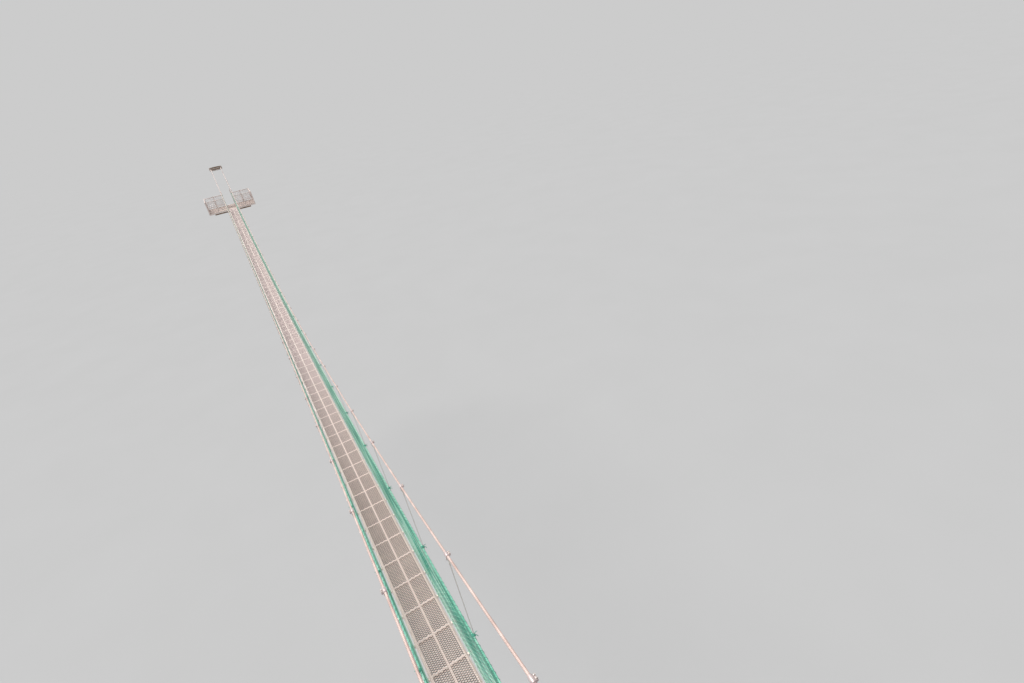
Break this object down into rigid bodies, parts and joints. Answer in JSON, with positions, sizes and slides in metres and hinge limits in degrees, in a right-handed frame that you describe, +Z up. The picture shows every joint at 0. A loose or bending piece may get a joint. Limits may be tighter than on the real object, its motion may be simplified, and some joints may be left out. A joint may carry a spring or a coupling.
{
  "type": "rope suspension footbridge, a canopy walkway, as a 1:2 scale model",
  "caption": "Narrow hanging footbridge with a metal mesh deck, green side nets, two main cables and hangers, between two platforms clamped round tree trunks.",
  "frame": {"origin": "middle of the flat bearing face of the near trunk clamp's beam on the bridge's side, where it presses on the trunk", "axes": "+Y along the bridge from the near platform to the far one, +X across it to the right, +Z up"},
  "size_m": [1.65, 24.0007, 2.4033],
  "materials": {
    "galvanised_steel": "dull weathered galvanised flat bar with a warm, dusty cast",
    "expanded_mesh": "weathered expanded metal mesh, dusty between its strands",
    "cable_steel": "stranded steel cable, pale and dusty with a warm tint",
    "green_rope": "twisted green synthetic rope, slightly faded",
    "green_netting": "knotted green synthetic netting, slightly faded",
    "clamp_timber": "rough sawn timber, weathered brown"
  },
  "bodies": {
    "root": {"deck_frame_1": "galvanised_steel", "deck_mesh_1": "expanded_mesh", "deck_frame_2": "galvanised_steel", "deck_mesh_2": "expanded_mesh", "deck_frame_3": "galvanised_steel", "deck_mesh_3": "expanded_mesh", "deck_frame_4": "galvanised_steel", "deck_mesh_4": "expanded_mesh", "deck_frame_5": "galvanised_steel", "deck_mesh_5": "expanded_mesh", "deck_frame_6": "galvanised_steel", "deck_mesh_6": "expanded_mesh", "left_net_1": "green_netting", "left_net_2": "green_netting", "left_net_3": "green_netting", "left_handrail_and_hangers": "green_rope", "left_main_cable": "cable_steel", "right_net_1": "green_netting", "right_net_2": "green_netting", "right_net_3": "green_netting", "right_handrail_and_hangers": "green_rope", "right_main_cable": "cable_steel", "near_platform_frame": "galvanised_steel", "near_platform_floor": "expanded_mesh", "near_trunk_clamp": "clamp_timber", "near_cable_collar": "clamp_timber", "near_railing_left": "galvanised_steel", "near_railing_right": "galvanised_steel", "near_railing_front_left": "galvanised_steel", "near_railing_front_right": "galvanised_steel", "near_railing_back_left": "galvanised_steel", "near_railing_back_right": "galvanised_steel", "far_platform_frame": "galvanised_steel", "far_platform_floor": "expanded_mesh", "far_trunk_clamp": "clamp_timber", "far_cable_collar": "clamp_timber", "far_railing_left": "galvanised_steel", "far_railing_right": "galvanised_steel", "far_railing_front_left": "galvanised_steel", "far_railing_front_right": "galvanised_steel", "far_railing_back_left": "galvanised_steel", "far_railing_back_right": "galvanised_steel"}
  },
  "joints": []
}
